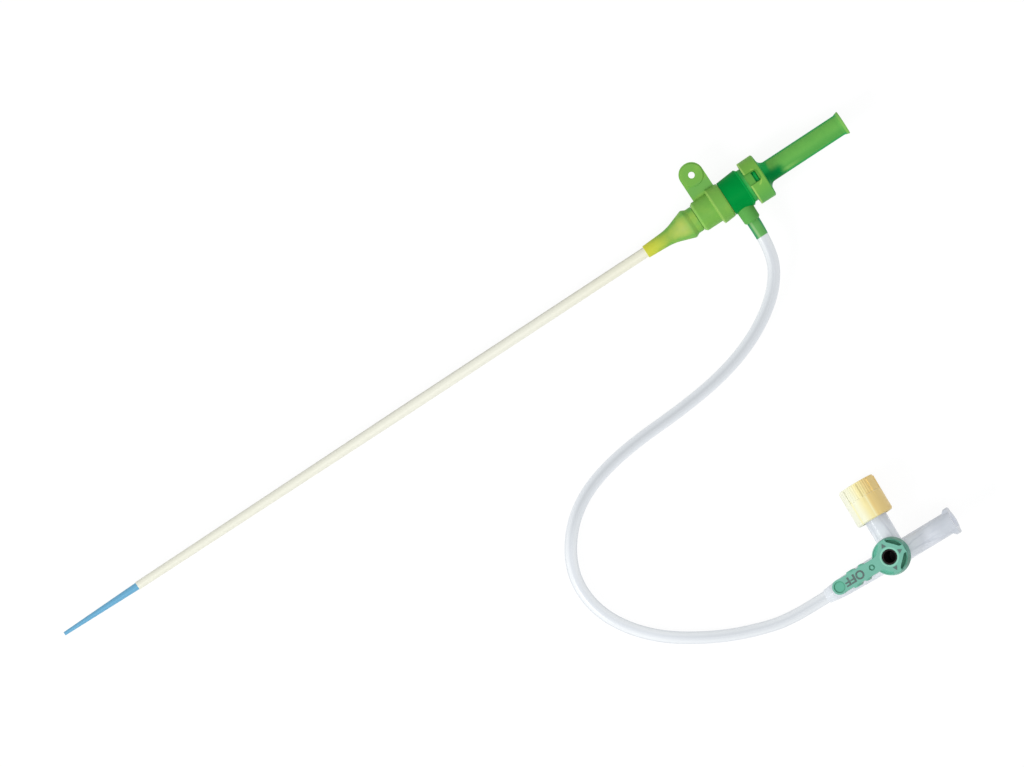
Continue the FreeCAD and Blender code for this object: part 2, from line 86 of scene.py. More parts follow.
# The floor lies a little under the object, and the share of its own light keeps it white
FLOOR_GAP = 0.02 * MM
FLOOR_GREY = (0.86, 0.86, 0.86)
FLOOR_GLOW = 1.05
FLOOR_GLOW_SHARE = 0.86

# Each lamp's name, place, width, share of the key lamp's power and aim, in metres
LAMPS = (
    ("key lamp", (-0.62, -0.14, 0.52), 0.30, 1.0, (0.06, -0.04, 0)),
    ("top lamp", (0.05, -0.35, 0.95), 0.60, 0.55, (0.04, -0.04, 0)),
)

# The camera looks straight down on this point, with a sensor of this many millimetres
PICTURE_MIDDLE = (12.26 * MM, -9.97 * MM, 6.4 * MM)
SENSOR_WIDTH = 36


def paint(red, green, blue):
    """A colour as it shows on a screen, 0 to 255, in the shader's own units."""
    def part(value):
        value /= 255
        return value / 12.92 if value <= 0.04045 else ((value + 0.055) / 1.055) ** 2.4
    return (part(red), part(green), part(blue))


def scaled(colour, share):
    """A colour made darker or brighter, as a tuple."""
    return tuple(Vector(colour) * share)


class Field:
    """A value that changes over a surface, for use in Python expressions."""

    def __init__(self, finish, socket):
        self.finish = finish
        self.socket = socket

    def math(self, operation, *others):
        node = self.finish.add(
            "ShaderNodeMath", {"operation": operation}, dict(enumerate([self, *others]))
        )
        return Field(self.finish, node.outputs[0])

    def __add__(self, other):
        return self.math("ADD", other)

    __radd__ = __add__

    def __sub__(self, other):
        return self.math("SUBTRACT", other)

    def __rsub__(self, other):
        node = self.finish.add("ShaderNodeMath", {"operation": "SUBTRACT"}, {0: other, 1: self})
        return Field(self.finish, node.outputs[0])

    def __mul__(self, other):
        return self.math("MULTIPLY", other)

    __rmul__ = __mul__

    def __truediv__(self, other):
        return self.math("DIVIDE", other)

    def __pow__(self, other):
        return self.math("POWER", other)

    def __abs__(self):
        return self.math("ABSOLUTE")

    def rise(self, start, end):
        """0 before start and 1 after end, with a soft step between them."""
        node = self.finish.add(
            "ShaderNodeMapRange",
            {"interpolation_type": "SMOOTHSTEP"},
            {"Value": self, "From Min": start, "From Max": end, "To Min": 0.0, "To Max": 1.0},
        )
        return Field(self.finish, node.outputs["Result"])


def empty_tree(block):
    """The node tree of a material or a world, with no nodes in it."""
    block.use_nodes = True
    block.node_tree.nodes.clear()
    return block.node_tree


def feed(tree, socket, value):
    """Links a field or another socket to an input, or sets the input's own value."""
    if isinstance(value, Field):
        value = value.socket
    if isinstance(value, bpy.types.NodeSocket):
        tree.links.new(value, socket)
    elif socket.type == "RGBA" and len(value) == 3:
        socket.default_value = (*value, 1)
    else:
        socket.default_value = value


def add_node(tree, kind, options=None, values=None):
    """A node of this kind: its options first, then its sockets' values or links."""
    node = tree.nodes.new(kind)
    for name, value in (options or {}).items():
        if name == "stops":
            ramp = node.color_ramp.elements
            while len(ramp) < len(value):
                ramp.new(1)
            for stop, (position, colour) in zip(ramp, value):
                stop.position = position
                stop.color = (*colour, 1)
        else:
            setattr(node, name, value)
    for name, value in (values or {}).items():
        feed(tree, node.inputs[name], value)
    return node


class Finish:
    """A material made of nodes, with one Principled shader at its end."""

    def __init__(self, name, **constants):
        self.material = bpy.data.materials.new(name)
        self.tree = empty_tree(self.material)
        self.surface = self.add("ShaderNodeBsdfPrincipled")
        self.set(**constants)
        self.add("ShaderNodeOutputMaterial", {}, {0: self.surface.outputs[0]})
        self.place = self.add("ShaderNodeTexCoord").outputs["Object"]

    def add(self, kind, options=None, values=None):
        return add_node(self.tree, kind, options, values)

    def set(self, **sockets):
        """Feeds the shader's sockets, which are named with underscores here."""
        for name, value in sockets.items():
            feed(self.tree, self.surface.inputs[name.replace("_", " ")], value)

    def mix(self, amount, first, second):
        """A colour between two, by an amount from 0 to 1."""
        node = self.add("ShaderNodeMix", {"data_type": "RGBA"}, {0: amount, 6: first, 7: second})
        return node.outputs[2]

    def noise(self, scale, detail=3.0, stretch=(1, 1, 1)):
        """Random mottling with features about 1 / scale metres across."""
        spot = self.add("ShaderNodeMapping", {}, {"Vector": self.place, "Scale": stretch})
        node = self.add(
            "ShaderNodeTexNoise", {}, {"Vector": spot.outputs[0], "Scale": scale, "Detail": detail}
        )
        return Field(self, node.outputs["Fac"])

    def measured(self, direction, origin):
        """How far a point lies along a direction from an origin, in millimetres."""
        offset = self.add(
            "ShaderNodeVectorMath", {"operation": "SUBTRACT"}, {0: self.place, 1: tuple(origin)}
        )
        node = self.add(
            "ShaderNodeVectorMath",
            {"operation": "DOT_PRODUCT"},
            {0: offset.outputs[0], 1: tuple(direction)},
        )
        return Field(self, node.outputs["Value"]) / MM

    def facing(self, blend=0.5):
        """0 where a surface faces the viewer and 1 at its edge, for clear plastic."""
        node = self.add("ShaderNodeLayerWeight", {}, {"Blend": blend})
        return Field(self, node.outputs["Facing"])

    def ramp(self, amount, stops):
        node = self.add("ShaderNodeValToRGB", {"stops": stops}, {"Fac": amount})
        return node.outputs["Color"]

    def grain(self, strength, scale, stretch=(1, 1, 1)):
        """A moulded texture on the surface, 0.02 mm deep at full strength."""
        rough = self.noise(scale, stretch=stretch)
        node = self.add(
            "ShaderNodeBump", {}, {"Strength": strength, "Distance": 0.02 * MM, "Height": rough}
        )
        self.set(Normal=node.outputs[0])


class CatheterColours(bpy.types.PropertyGroup):
    """The colours of the plastics."""

    ivory: bpy.props.FloatVectorProperty(
        name="Sheath ivory", description="Colour of the sheath's tube",
        subtype="COLOR", size=3, min=0, max=1, default=paint(236, 235, 220))
    blue: bpy.props.FloatVectorProperty(
        name="Dilator blue", description="Colour of the tapered shaft",
        subtype="COLOR", size=3, min=0, max=1, default=paint(98, 162, 196))
    lime: bpy.props.FloatVectorProperty(
        name="Lime", description="Colour of the collar and the snap ring",
        subtype="COLOR", size=3, min=0, max=1, default=paint(117, 177, 74))
    relief_tip: bpy.props.FloatVectorProperty(
        name="Relief's tip", description="Colour of the strain relief at its thin end",
        subtype="COLOR", size=3, min=0, max=1, default=paint(206, 212, 78))
    green: bpy.props.FloatVectorProperty(
        name="Housing green", description="Colour of the valve housing",
        subtype="COLOR", size=3, min=0, max=1, default=paint(0, 142, 59))
    port: bpy.props.FloatVectorProperty(
        name="Port green", description="Colour of the side port and its nipple",
        subtype="COLOR", size=3, min=0, max=1, default=paint(94, 166, 80))
    grip_edge: bpy.props.FloatVectorProperty(
        name="Grip's edge", description="Colour of the translucent grip where it is seen edge on",
        subtype="COLOR", size=3, min=0, max=1, default=paint(0, 160, 76))
    teal: bpy.props.FloatVectorProperty(
        name="Handle teal", description="Colour of the stopcock's handle",
        subtype="COLOR", size=3, min=0, max=1, default=paint(112, 176, 156))
    core: bpy.props.FloatVectorProperty(
        name="Plug", description="Colour of the stopcock's plug",
        subtype="COLOR", size=3, min=0, max=1, default=paint(24, 15, 13))
    # The cap's pale and deep colours carry painted light on its pale side and painted shade on its
    # deep side.
    cream: bpy.props.FloatVectorProperty(
        name="Cap's pale side", description="Colour of the cap where it is palest",
        subtype="COLOR", size=3, min=0, max=1, default=paint(231, 231, 212))
    ochre: bpy.props.FloatVectorProperty(
        name="Cap's deep side", description="Colour of the cap where it is deepest",
        subtype="COLOR", size=3, min=0, max=1, default=paint(240, 210, 137))
    clear: bpy.props.FloatVectorProperty(
        name="Clear plastic", description="Tint of the clear tube and the stopcock's body",
        subtype="COLOR", size=3, min=0, max=1, default=paint(187, 191, 195))
    marks: bpy.props.FloatVectorProperty(
        name="Marks", description="Colour of the word and the arrows on the handle",
        subtype="COLOR", size=3, min=0, max=1, default=paint(78, 98, 94))


class SideTubeSizes(bpy.types.PropertyGroup):
    """The sizes of the side tube."""

    diameter: bpy.props.FloatProperty(
        name="Diameter", description="Outside diameter of the tube",
        subtype="DISTANCE", unit="LENGTH", default=3.4 * MM, min=1 * MM)
    bore: bpy.props.FloatProperty(
        name="Bore", description="Inside diameter of the tube",
        subtype="DISTANCE", unit="LENGTH", default=1.8 * MM, min=0.5 * MM)
    sides: bpy.props.IntProperty(
        name="Sides", description="Faces round the tube", default=40, min=12, max=96)


class HandleMarkSizes(bpy.types.PropertyGroup):
    """The sizes of the word and the arrows on the handle."""

    top: bpy.props.FloatProperty(
        name="Height of the top", description="From the passages' crossing to the handle's top",
        subtype="DISTANCE", unit="LENGTH", default=9.8 * MM)
    proud: bpy.props.FloatProperty(
        name="Ink", description="How far the marks stand proud",
        subtype="DISTANCE", unit="LENGTH", default=0.04 * MM)
    letter: bpy.props.FloatProperty(
        name="Letter height", description="Height of the letters",
        subtype="DISTANCE", unit="LENGTH", default=2.5 * MM)
    bold: bpy.props.FloatProperty(
        name="Bold", description="How far the letters' strokes are widened each way",
        subtype="DISTANCE", unit="LENGTH", default=0.10 * MM)
    arrow: bpy.props.FloatProperty(
        name="Arrow length", description="Length of each arrow on the spokes",
        subtype="DISTANCE", unit="LENGTH", default=1.3 * MM)


class StageSettings(bpy.types.PropertyGroup):
    """The floor, the lamps and the camera."""

    floor: bpy.props.FloatProperty(
        name="Floor", description="Side of the square floor",
        subtype="DISTANCE", unit="LENGTH", default=6.0)
    key: bpy.props.FloatProperty(
        name="Key lamp", description="Power of the large soft lamp at the tip's side",
        subtype="POWER", unit="POWER", default=3.4, min=0)
    fill: bpy.props.FloatProperty(
        name="Fill", description="Strength of the light from all round",
        subtype="FACTOR", default=0.62, min=0, max=2)
    lens: bpy.props.FloatProperty(
        name="Lens", description="Focal length in millimetres", default=500, min=20)
    roll: bpy.props.FloatProperty(
        name="Roll", description="How far the sheath runs uphill in the picture",
        subtype="ANGLE", unit="ROTATION", default=math.radians(33.3))
    scale: bpy.props.FloatProperty(
        name="Scale", description="Width of the picture at the sheath's height",
        subtype="DISTANCE", unit="LENGTH", default=275.46 * MM)


def dress(node, finish):
    """Gives a CAD node its finish."""
    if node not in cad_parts:
        raise RuntimeError("the frame has no node named " + node)
    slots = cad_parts[node].data.materials
    slots.clear()
    slots.append(finish.material)


def settings(name):
    return getattr(bpy.context.scene, "catheter_" + name)


def place_on_handle(piece, sizes):
    """Lays a flat piece, drawn in the handle's own frame, on the leaning handle's top."""
    turn = Matrix((PORT_WAY, SIDE_WAY, TAP_WAY)).transposed().to_4x4()
    lift = Matrix.Translation(CROSSING + TAP_WAY * sizes.top)
    piece.data.transform(lift @ turn)


def handle_mark(name, mesh, finish, sizes):
    piece = bpy.data.objects.new(name, mesh)
    bpy.context.scene.collection.objects.link(piece)
    place_on_handle(piece, sizes)
    piece.data.materials.clear()
    piece.data.materials.append(finish.material)
    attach(piece, "tap")


class CATHETER_OT_sheath(bpy.types.Operator):
    """Finish the sheath's ivory tube"""

    bl_idname = "catheter.sheath"
    bl_label = "Sheath tube"

    def execute(self, context):
        colours = settings("colours")
        ivory = Finish("ivory tube", Roughness=0.36, IOR=1.5)
        drawn = ivory.noise(60, 4.0, (0.06, 1, 1))
        along = ivory.measured((1, 0, 0), (0, 0, 0))
        aside = ivory.measured((0, 1, 0), AXIS)
        shade = ivory.mix(along.rise(20, 65), colours.ivory, paint(237, 235, 213))
        shade = ivory.mix(1 - along.rise(-110, 20), shade, paint(226, 225, 209))
        shade = ivory.mix(drawn.rise(0.35, 0.7) * 0.3, shade, paint(222, 220, 204))
        # Painted shade: the tube's +Y edge is darker.
        shade = ivory.mix(aside.rise(1.05, 1.42) * 0.5, shade, paint(186, 184, 170))
        ivory.set(
            Base_Color=shade,
            Roughness=0.30 + 0.12 * drawn,
        )
        ivory.grain(0.10, 900, stretch=(0.03, 1, 1))
        dress("sheath_tube", ivory)
        return {"FINISHED"}


class CATHETER_OT_relief(bpy.types.Operator):
    """Finish the strain relief, yellow at its thin end and lime at its neck"""

    bl_idname = "catheter.relief"
    bl_label = "Strain relief"

    def execute(self, context):
        colours = settings("colours")
        soft = Finish("soft relief", Roughness=0.46, IOR=1.48, Specular_IOR_Level=0.15)
        along = soft.measured((1, 0, 0), SHOULDER)
        stops = [
            (0.00, paint(206, 204, 62)),
            (0.18, paint(192, 202, 68)),
            (0.45, paint(146, 180, 74)),
            (0.72, paint(166, 190, 96)),
            (0.80, paint(152, 186, 86)),
            (0.84, paint(138, 188, 88)),
            (0.90, paint(132, 188, 84)),
            (0.93, paint(124, 182, 80)),
            (1.00, paint(126, 184, 82)),
        ]
        shade = soft.ramp((along + 26.0) / 16.5, stops)
        aside = soft.measured((0, 1, 0), AXIS)
        up = abs(soft.measured((0, 0, 1), AXIS))
        # Painted shade: the relief's sides are a darker green than its top and bottom, fading out
        # towards its thin end.
        flank_shade = 1 - (up / (aside * aside + up * up) ** 0.5).rise(0.55, 1.0)
        shade = soft.mix(flank_shade * 0.85 * along.rise(-25, -18), shade, paint(96, 172, 70))
        mottle = soft.noise(420, 4.0)
        soft.set(Base_Color=soft.mix(mottle.rise(0.3, 0.8) * 0.25, shade, colours.relief_tip),
                 Roughness=0.42 + 0.12 * mottle)
        soft.grain(0.22, 2600)
        dress("strain_relief", soft)
        return {"FINISHED"}


class CATHETER_OT_collar(bpy.types.Operator):
    """Finish the suture collar"""

    bl_idname = "catheter.collar"
    bl_label = "Suture collar"

    def execute(self, context):
        colours = settings("colours")
        lime = Finish("collar lime", Roughness=0.42, IOR=1.49, Specular_IOR_Level=0.15)
        out = lime.measured((0, 1, 0), AXIS)
        along = lime.measured((1, 0, 0), SHOULDER)
        step = along.rise(-4.15, -4.0) * (1 - along.rise(-3.7, -3.2)) * (1 - out.rise(4.8, 5.2))
        mottle = lime.noise(300, 4.0)
        thin = out.rise(4.6, 5.6) * (1 - out.rise(7.4, 8.4))
        warm = paint(134, 186, 78)
        shade = lime.mix(mottle.rise(0.45, 0.75) * 0.6, colours.lime, warm)
        # Painted highlight on the chamfer of the collar's step.
        shade = lime.mix(step * 0.8, shade, paint(152, 196, 96))
        # Painted highlight along the collar's front edge.
        front_edge_highlight = 1 - along.rise(-8.9, -8.6)
        shade = lime.mix(front_edge_highlight * 0.5, shade, paint(150, 198, 100))
        # The tab's thin part is a bluer green: partly its own thin plastic and partly painted shade
        # showing through it.
        lime.set(Base_Color=lime.mix(thin * 0.7, shade, paint(110, 174, 86)),
                 Roughness=0.38 + 0.14 * mottle)
        lime.grain(0.16, 2200)
        dress("suture_collar", lime)
        return {"FINISHED"}


class CATHETER_OT_housing(bpy.types.Operator):
    """Finish the valve housing, its valve and its cap"""

    bl_idname = "catheter.housing"
    bl_label = "Valve housing"

    def execute(self, context):
        colours = settings("colours")
        green = Finish("housing green", Roughness=0.40, IOR=1.49, Specular_IOR_Level=0.02)
        across = green.measured((1, 0, 0), SHOULDER) - PORT_STATION
        up = green.measured((0, 0, 1), AXIS)
        out = green.measured((0, -1, 0), AXIS)
        radius = (across * across + up * up) ** 0.5
        port = (1 - radius.rise(2.50, 2.56)) * out.rise(3.6, 4.0)
        mottle = green.noise(260, 4.0)
        deep = scaled(colours.green, 0.86)
        body = green.mix(mottle.rise(0.4, 0.75) * 0.6, colours.green, deep)
        slope_painted_light = across.rise(2.85, 2.95) * (1 - across.rise(3.4, 3.6))
        body = green.mix(across.rise(3.3, 3.6), body, paint(66, 184, 92))
        # Painted light on the housing's back chamfer, which faces away from the key lamp.
        body = green.mix(slope_painted_light, body, paint(24, 190, 92))
        green.set(Base_Color=green.mix(port, body, colours.port), Roughness=0.30 + 0.1 * mottle)
        green.grain(0.10, 1500)
        dress("valve_housing", green)

        cap = Finish("cap green", Roughness=0.38, IOR=1.49, Specular_IOR_Level=0.08)
        along = cap.measured((1, 0, 0), SHOULDER)
        cloud = cap.noise(320, 4.0)
        front = cap.mix(cloud.rise(0.35, 0.65), paint(64, 164, 78), paint(112, 186, 92))
        # Behind 7.3 mm the cap's ridge is its deep green, painted lighter against the shade in the
        # snap ring's window.
        cap.set(Base_Color=cap.mix(along.rise(7.3, 7.8), front, paint(20, 184, 86)),
                Roughness=0.34 + 0.1 * cloud)
        dress("valve_cap", cap)

        silicone = Finish("silicone", Roughness=0.55, IOR=1.41)
        haze = silicone.noise(500, 3.0)
        silicone.set(Base_Color=silicone.mix(haze, paint(226, 226, 220), paint(212, 214, 210)),
                     Roughness=0.5 + 0.15 * haze)
        dress("valve_disc", silicone)
        return {"FINISHED"}


class CATHETER_OT_dilator(bpy.types.Operator):
    """Finish the dilator's blue shaft and its lime snap ring with the translucent grip"""

    bl_idname = "catheter.dilator"
    bl_label = "Dilator"

    def execute(self, context):
        colours = settings("colours")
        blue = Finish("dilator blue", Roughness=0.30, IOR=1.5)
        along = blue.measured((1, 0, 0), SHOULDER)
        drawn = blue.noise(90, 3.0, (0.08, 1, 1))
        pale = paint(112, 174, 204)
        shaft = blue.mix(drawn.rise(0.4, 0.7) * 0.5, colours.blue, pale)
        hidden = along.rise(10.2, 10.8)
        blue.set(Base_Color=blue.mix(hidden, shaft, paint(0, 92, 60)), Roughness=0.26 + 0.1 * drawn)
        blue.grain(0.06, 1200, stretch=(0.05, 1, 1))
        dress("dilator_tube", blue)

        ring = Finish("snap ring and grip", Roughness=0.40, IOR=1.49, Specular_IOR_Level=0.04)
        along = ring.measured((1, 0, 0), SHOULDER)
        aside = ring.measured((0, 1, 0), AXIS)
        mottle = ring.noise(280, 4.0)
        grip = along.rise(11.75, 12.1)
        edge = abs(aside).rise(2.30, 2.85)
        wander = 1.2 * (mottle - 0.5)
        fillet = (along + wander).rise(11.6, 12.2) * (1 - (along + wander).rise(13.4, 14.6))
        root = (along + wander).rise(11.8, 12.4) * (1 - (along + 2 * wander).rise(16.0, 18.6))
        root = root * (1 - (aside + wander).rise(-0.9, 1.1))
        streak = (1 - abs(aside + 1.9).rise(0.15, 0.6)) * along.rise(15.5, 17.0)
        streak = streak * (1 - along.rise(18.0, 24.0))
        up = ring.measured((0, 0, 1), AXIS)
        recess_shade = 1 - (up * up + aside * aside).rise(5.95 ** 2, 6.15 ** 2)
        plain = ring.mix(mottle.rise(0.4, 0.75) * 0.5, colours.lime, paint(132, 186, 78))
        plain = ring.mix(aside.rise(-6.0, 0.5), paint(98, 172, 80), plain)
        # Painted shade in the ring's recess.
        plain = ring.mix(recess_shade * 0.6, plain, paint(84, 160, 72))
        # Painted highlight along the ring's front edge.
        front = 1 - along.rise(7.5, 7.9)
        plain = ring.mix(front * (1 - recess_shade) * 0.8, plain, paint(166, 208, 108))
        # Painted highlight on the rim round the ring's window.
        round_slot = (((along - 9.5) / 1.4) ** 2 + ((aside - 0.7) / 2.3) ** 2) ** 0.5
        brow_highlight = round_slot.rise(0.86, 0.96) * (1 - round_slot.rise(1.04, 1.16)) * (1 - recess_shade)
        plain = ring.mix(brow_highlight * along.rise(9.2, 9.9) * 0.7, plain, paint(158, 204, 92))
        middle = ring.mix(mottle.rise(0.35, 0.7) * 0.5, paint(108, 180, 82), paint(96, 170, 78))
        middle = ring.mix(aside.rise(-2.0, 0.2), paint(88, 166, 76), middle)
        clear = ring.mix(streak * 0.6, middle, paint(134, 194, 100))
        clear = ring.mix(edge, clear, colours.grip_edge)
        # The fillet at the grip's root: its own deep green, painted lighter against its shade.
        clear = ring.mix(fillet * 0.9, clear, paint(0, 172, 82))
        clear = ring.mix(root, clear, paint(0, 134, 60))
        clear = ring.mix(along.rise(36.6, 37.0), clear, paint(122, 184, 88))
        ring.set(Base_Color=ring.mix(grip, plain, clear), Roughness=0.32 + 0.1 * mottle)
        ring.grain(0.10, 1500)
        dress("dilator_hub", ring)
        return {"FINISHED"}


class CATHETER_OT_side_tube(bpy.types.Operator):
    """Draw the clear side tube along its route"""

    bl_idname = "catheter.side_tube"
    bl_label = "Side tube"

    def execute(self, context):
        colours = settings("colours")
        sizes = settings("tube")
        line = bpy.data.curves.new("side tube's line", "CURVE")
        line.dimensions = "3D"
        line.resolution_u = 12
        spline = line.splines.new("NURBS")
        spline.points.add(len(ROUTE) - 1)
        for point, place in zip(spline.points, ROUTE):
            point.co = (*(Vector(place) * MM), 1)
        spline.order_u = 3
        spline.use_endpoint_u = True
        guide = bpy.data.objects.new("side tube's line", line)
        context.scene.collection.objects.link(guide)
        drawn = bpy.data.meshes.new_from_object(guide)
        path = [v.co.copy() for v in drawn.vertices]
        bpy.data.objects.remove(guide)
        bpy.data.meshes.remove(drawn)

        mesh = bpy.data.meshes.new("side_tube_clear")
        form = bmesh.new()
        distances = [0.0]
        for last, here in zip(path, path[1:]):
            distances.append(distances[-1] + (here - last).length)
        for radius in (sizes.diameter / 2, sizes.bore / 2):
            rings = []
            side = Vector((0, 0, 1))
            for i, here in enumerate(path):
                ahead = (path[min(i + 1, len(path) - 1)] - path[max(i - 1, 0)]).normalized()
                side = (side - ahead * side.dot(ahead)).normalized()
                other = ahead.cross(side)
                pose = Matrix((other, side, ahead)).transposed().to_4x4()
                swell = 1.0
                if radius == sizes.diameter / 2:
                    swell += NIPPLE_SWELL * (1 - min(1, distances[i] / NIPPLE_LENGTH)) ** 0.5
                made = bmesh.ops.create_circle(
                    form, cap_ends=False, segments=sizes.sides, radius=radius * swell,
                    matrix=Matrix.Translation(here) @ pose,
                )
                edges = [e for v in made["verts"] for e in v.link_edges]
                rings.append(list(dict.fromkeys(edges)))
            for last, here in zip(rings, rings[1:]):
                bmesh.ops.bridge_loops(form, edges=last + here)
        # The wall's two rings are closed at the port's end first, and then at the inlet's
        open_edges = [e for e in form.edges if e.is_boundary]
        start = [e for e in open_edges if (e.verts[0].co - path[0]).length < sizes.diameter]
        bmesh.ops.bridge_loops(form, edges=start)
        bmesh.ops.bridge_loops(form, edges=[e for e in form.edges if e.is_boundary])
        bmesh.ops.recalc_face_normals(form, faces=form.faces)
        for face in form.faces:
            face.smooth = True
        form.to_mesh(mesh)
        form.free()
        tube = bpy.data.objects.new("side_tube_clear", mesh)
        context.scene.collection.objects.link(tube)

        clear = Finish("clear tube", Roughness=0.12, IOR=1.45)
        haze = clear.noise(90, 2.0)
        edge = clear.facing(0.5)
        out = clear.measured((0, -1, 0), AXIS)
        along = clear.measured((1, 0, 0), SHOULDER)
        port = (1 - out.rise(13.5, 13.8)) * along.rise(0, 0.1)
        # Painted light and shade: a lit and a shaded tint of the clear tube, picked by how far the
        # tube lies from the sheath's axis.
        shaded_share = out.rise(8, 34) * (1 - out.rise(44, 60)) + 0.45 * out.rise(86, 99)
        shaded = clear.ramp(edge, [
            (0.00, tuple(colours.clear)),
            (0.03, paint(192, 196, 200)),
            (0.13, paint(205, 209, 213)),
            (0.35, paint(213, 217, 221)),
            (0.60, paint(215, 218, 222)),
            (0.80, paint(199, 203, 208)),
        ])
        bright = clear.ramp(edge, [
            (0.00, paint(209, 213, 218)),
            (0.10, paint(223, 226, 229)),
            (0.32, paint(225, 228, 230)),
            (0.52, paint(208, 212, 216)),
            (0.75, paint(192, 196, 202)),
        ])
        tint = clear.mix(shaded_share, bright, shaded)
        across = along - PORT_STATION
        # Painted sheen: a light stripe along the nipple seen through the tube.
        sheen = (1 - abs(across + 0.9).rise(0.1, 0.5)) * 0.8
        side = abs(across).rise(1.0, 1.75)
        nipple = clear.mix(side, paint(92, 164, 80), paint(24, 136, 84))
        tint = clear.mix(port, tint, clear.mix(sheen, nipple, paint(138, 184, 122)))
        # Painted light: the tube glows with its tint over a base colour darkened to match, so it
        # looks evenly lit.
        clear.set(
            Base_Color=clear.mix(0.35, tint, (0, 0, 0)),
            Emission_Color=tint,
            Emission_Strength=0.47,
            Roughness=0.24 + 0.10 * haze + 0.36 * port,
            Alpha=0.90 + 0.06 * haze,
        )
        mesh.materials.append(clear.material)
        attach(tube, "hub")
        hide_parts("side_tube")
        return {"FINISHED"}


class CATHETER_OT_stopcock(bpy.types.Operator):
    """Finish the stopcock's clear body, its plug and its handle"""

    bl_idname = "catheter.stopcock"
    bl_label = "Stopcock"

    def execute(self, context):
        colours = settings("colours")
        sizes = settings("marks")
        clear = Finish("clear body", Roughness=0.12, IOR=1.5)
        haze = clear.noise(160, 4.0)
        along = clear.measured(PORT_WAY, CROSSING)
        aside = clear.measured(SIDE_WAY, CROSSING)
        on_side = aside.rise(4.3, 4.7) * (1 - abs(along).rise(3.2, 3.5))
        lengthwise = clear.noise(1000, 2.0, (0.06, 1, 1))
        crosswise = clear.noise(1000, 2.0, (1, 0.06, 1))
        streaks = lengthwise * (1 - on_side) + crosswise * on_side
        height = clear.measured(TAP_WAY, CROSSING)
        from_port = (height * height + aside * aside) ** 0.5
        from_side = (height * height + along * along) ** 0.5
        from_plug = (along * along + aside * aside) ** 0.5
        inside = 1 - from_plug.rise(2.7, 2.8)
        inside = inside.math("MAXIMUM", (1 - from_port.rise(2.2, 2.3)) * (1 - on_side))
        inside = inside.math("MAXIMUM", (1 - from_side.rise(2.2, 2.3)) * on_side)
        inlet = 1 - along.rise(-9.0, -5.0)
        near_plug_light = 1 - from_plug.rise(5.5, 10.0)
        deep = clear.mix(on_side, clear.mix(inlet, paint(198, 201, 209), paint(199, 203, 208)),
                         paint(202, 207, 213))
        pale = clear.mix(on_side, clear.mix(inlet, paint(210, 213, 219), paint(208, 212, 217)),
                         paint(214, 218, 224))
        milky = clear.mix(haze.rise(0.3, 0.7), deep, pale)
        # Painted light near the plug, against the handle's shadow.
        milky = clear.mix(near_plug_light * 0.6, milky, paint(230, 233, 234))
        # Painted shade towards the outlet's far end.
        far = along.rise(9.0, 15.5) * (1 - on_side)
        milky = clear.mix(far * 0.6, milky, paint(162, 168, 174))
        # Painted light on the outlet's -Y side.
        lower_side_light = (1 - aside.rise(-3.0, 0.5)) * (1 - on_side) * (1 - inlet)
        milky = clear.mix(lower_side_light * (0.35 - 0.2 * far), milky, paint(228, 232, 237))
        # Painted shadow of the cap on the side port, near the cap.
        milky = clear.mix(on_side * aside.rise(9.8, 11.3) * 0.35, milky, paint(172, 178, 184))
        # A darker edge on the +Y side: the clear plastic's own edge darkening, kept to that side as
        # painted shade.
        upper_edge_shade = clear.facing(0.5).rise(0.45, 0.85) * aside.rise(0.5, 2.0) * (1 - on_side)
        milky = clear.mix(upper_edge_shade * 0.40, milky, paint(160, 163, 176))
        lines = streaks.rise(0.48, 0.66) * (1 - inlet)
        milky = clear.mix(lines * 0.45, milky, paint(176, 181, 190))
        # Painted light: the body glows, the outlet's mouth near white so that its inside doesn't
        # show, the inner passages at the body's milky colour and the outside at half of a pale
        # tint.
        mouth_glow = along.rise(16.8, 17.0) * (1 - from_port.rise(2.15, 2.2)) * (1 - on_side)
        lit = clear.mix(inside, scaled(paint(205, 209, 219), 0.5), milky)
        clear.set(
            Base_Color=milky,
            Emission_Color=clear.mix(mouth_glow, lit, scaled(paint(236, 238, 246), 1.2)),
            Emission_Strength=0.30,
            Roughness=0.10 + 0.12 * haze,
            Alpha=0.80 + 0.12 * haze + 0.06 * far,
        )
        dress("stopcock_body", clear)

        core = Finish("plug black", Roughness=0.34, IOR=1.49, Specular_IOR_Level=0.2)
        streak = core.noise(500, 4.0)
        core.set(Base_Color=core.mix(streak.rise(0.45, 0.8), colours.core, paint(28, 18, 15)),
                 Roughness=0.28 + 0.2 * streak)
        dress("stopcock_plug", core)

        teal = Finish("handle teal", Roughness=0.38, IOR=1.49, Specular_IOR_Level=0.3)
        height = teal.measured(TAP_WAY, CROSSING)
        along = teal.measured(PORT_WAY, CROSSING)
        aside = teal.measured(SIDE_WAY, CROSSING)
        radius = (along * along + aside * aside) ** 0.5
        mottle = teal.noise(380, 4.0)
        top = sizes.top / MM
        low = 1 - height.rise(top - 1.6, top - 0.8)
        pocket = low * (1 - radius.rise(4.7, 4.8))
        under_top = 1 - height.rise(top - 0.5, top - 0.3)
        wall = radius.rise(4.52, 4.62) * along.rise(-1.0, 2.0) * under_top
        shade = teal.mix(mottle.rise(0.35, 0.75) * 0.5, colours.teal, paint(104, 168, 148))
        # Painted light and shade on the pocket floors: lighter on the -X side, darker on the +X
        # side.
        pocket_light_and_shade = teal.mix(along.rise(-1.5, 1.5), paint(116, 188, 166), paint(84, 150, 124))
        shade = teal.mix(pocket, shade, pocket_light_and_shade)
        # Painted shade on the rim's inner wall on the +X side, darkest towards the pockets.
        shade = teal.mix(wall * 0.8, shade, paint(84, 150, 130))
        corner_shade = 1 - abs(abs(aside) - along).rise(1.0, 3.4)
        shade = teal.mix(wall * corner_shade * 0.7, shade, paint(58, 128, 102))
